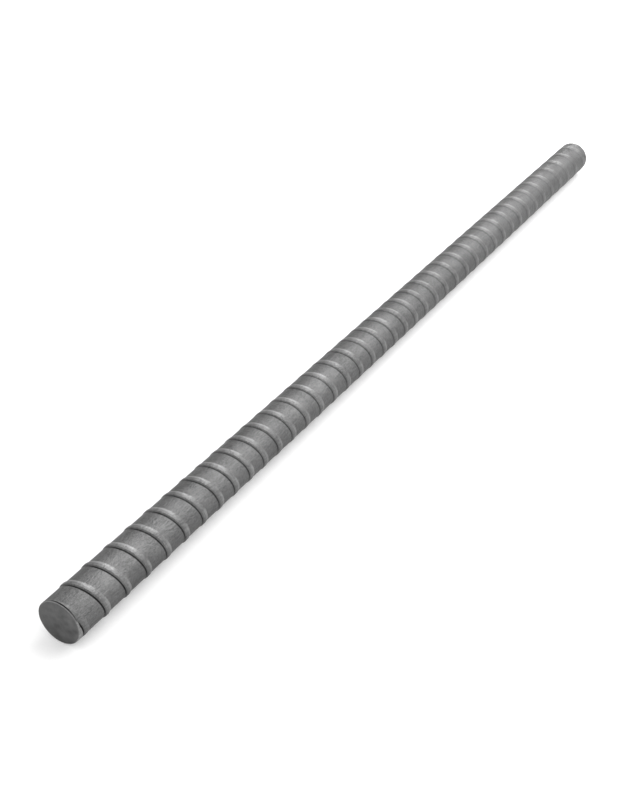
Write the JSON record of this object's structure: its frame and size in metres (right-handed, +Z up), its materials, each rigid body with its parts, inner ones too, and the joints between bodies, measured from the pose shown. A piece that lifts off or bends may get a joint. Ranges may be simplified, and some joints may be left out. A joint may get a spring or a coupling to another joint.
{
  "type": "reinforcing bar",
  "caption": "Straight hot-rolled steel reinforcing bar with slanted ribs round a plain core, sawn square at both ends, for casting into concrete.",
  "frame": {"origin": "on the floor under the middle of the bar", "axes": "+X along the bar towards the far sawn end, +Z up; the bar lies on its ribs"},
  "size_m": [0.6, 0.0232, 0.0232],
  "materials": {
    "hot_rolled_steel": "satin grey mill scale, faintly streaked along the bar"
  },
  "bodies": {
    "root": {"rebar": "hot_rolled_steel"}
  },
  "joints": []
}
